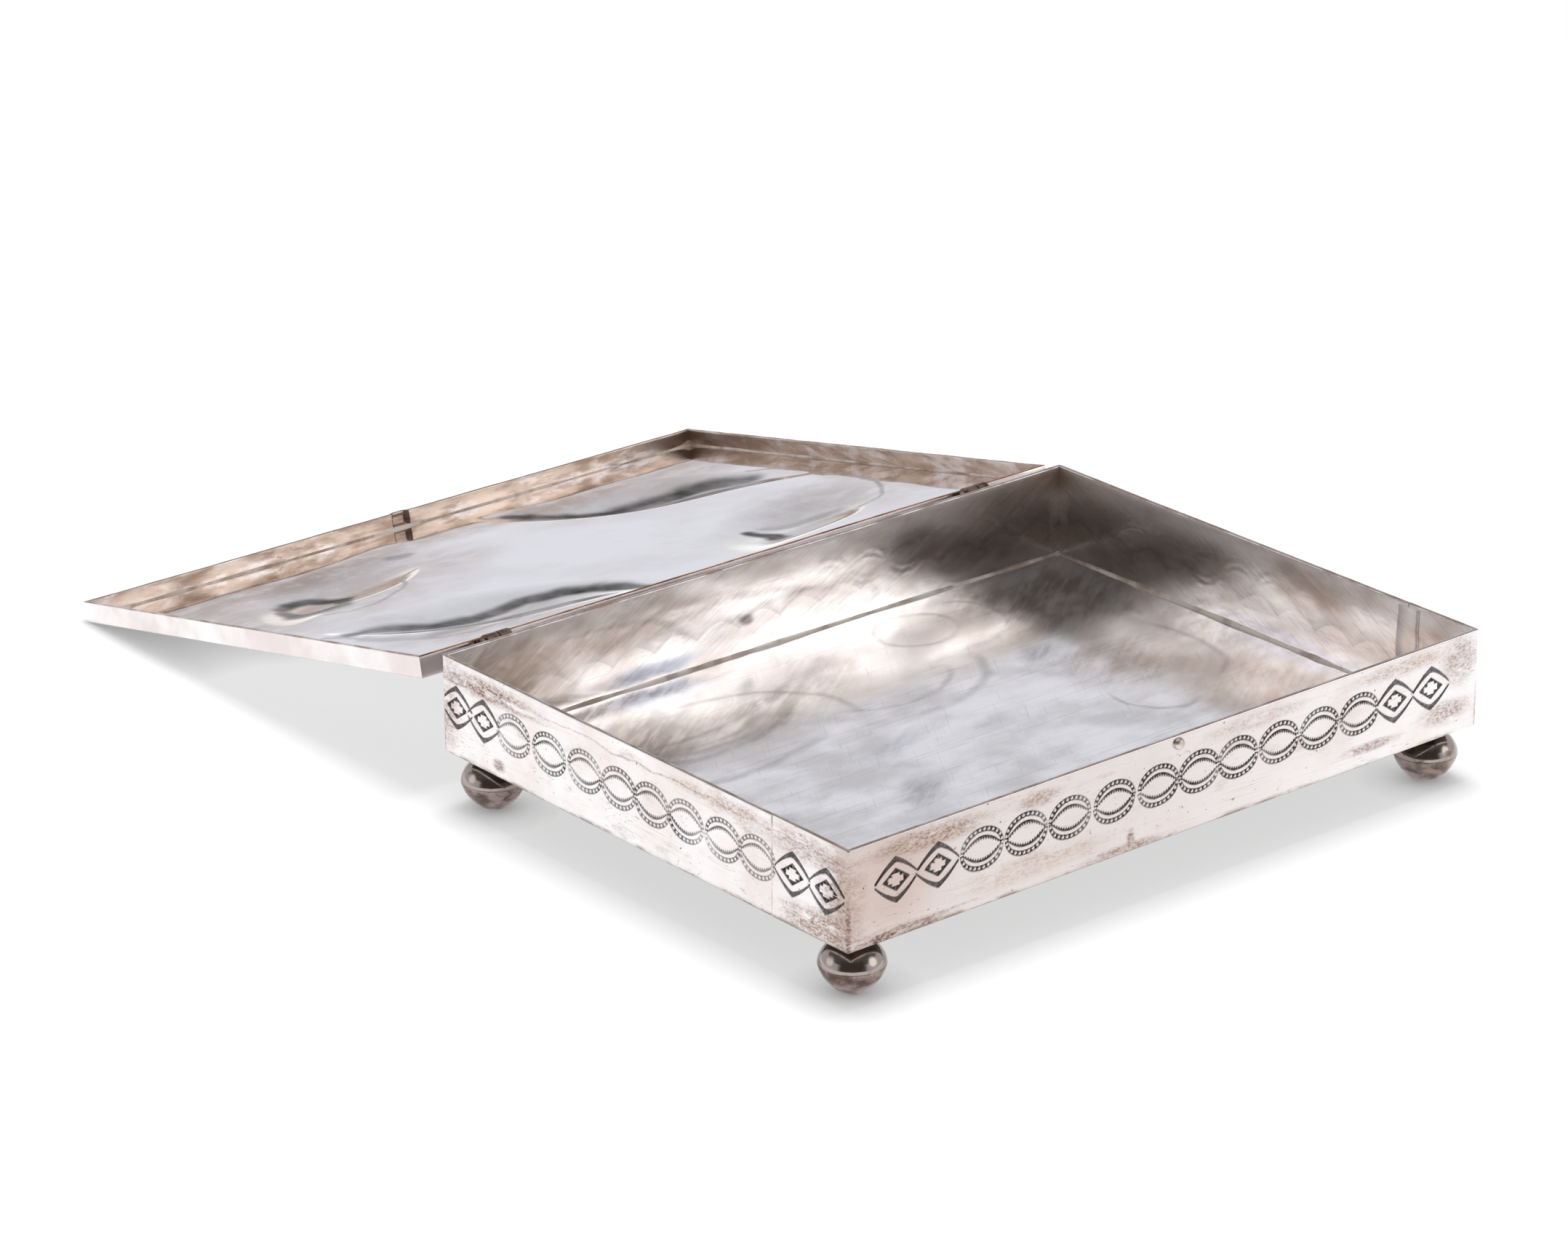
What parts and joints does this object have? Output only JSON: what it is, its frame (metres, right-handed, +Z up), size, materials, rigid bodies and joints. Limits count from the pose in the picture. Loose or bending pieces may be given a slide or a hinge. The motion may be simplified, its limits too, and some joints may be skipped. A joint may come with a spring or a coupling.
{
  "type": "hinged keepsake box",
  "caption": "Low rectangular hand-made silver box on hollow bead feet, its shallow slip-over lid swung right open on tube hinges, for rings, pins or papers",
  "frame": {"origin": "Middle of the open box's footprint, on the table: x halfway along the tray, y halfway between the tray's front and the open lid's far edge, z at the feet's lowest points.", "axes": "+Z is up. +Y runs from the tray's front to its hinges and on to the open lid. +X runs along the tray, to the right when it is seen from its front."},
  "size_m": [0.1824, 0.2778, 0.0354],
  "materials": {
    "outside": "worn bright silver, stamped, dark patina in the stamps",
    "inside": "silver with a cloudy brown-grey tarnish",
    "floor": "finely scratched silver with a grey tarnish",
    "bead": "domed silver, polished above and matt brownish below",
    "lid": "highly polished silver",
    "lid_rim": "silver with a golden-brown tarnish",
    "hinge": "dull drawn silver tube",
    "pin": "dark drawn silver wire"
  },
  "bodies": {
    "tray": {"front_wall": "outside", "back_wall": "outside", "seam_strap_left": "inside", "seam_strap_right": "inside", "floor_plate": "floor", "foot_front_left_upper": "bead", "foot_front_right_upper": "bead", "foot_back_left_upper": "bead", "foot_back_right_upper": "bead", "foot_front_left_lower": "bead", "foot_front_right_lower": "bead", "foot_back_left_lower": "bead", "foot_back_right_lower": "bead", "catch_bead": "outside", "tray_knuckle_left": "hinge", "tray_knuckle_right": "hinge", "hinge_pin_left": "pin", "hinge_pin_right": "pin"},
    "lid": {"lid_plate": "lid", "lid_rim_front": "lid_rim", "lid_rim_back": "lid_rim", "lid_rim_left": "lid_rim", "lid_rim_right": "lid_rim", "lid_knuckle_left": "hinge", "lid_knuckle_right": "hinge"}
  },
  "joints": [
    {"name": "lid_hinge", "type": "hinge", "parent": "tray", "child": "lid", "pos_m": [0, 0.00085, 0.0326], "axis": [1, 0, 0], "range_deg": [0, 191.8]}
  ]
}
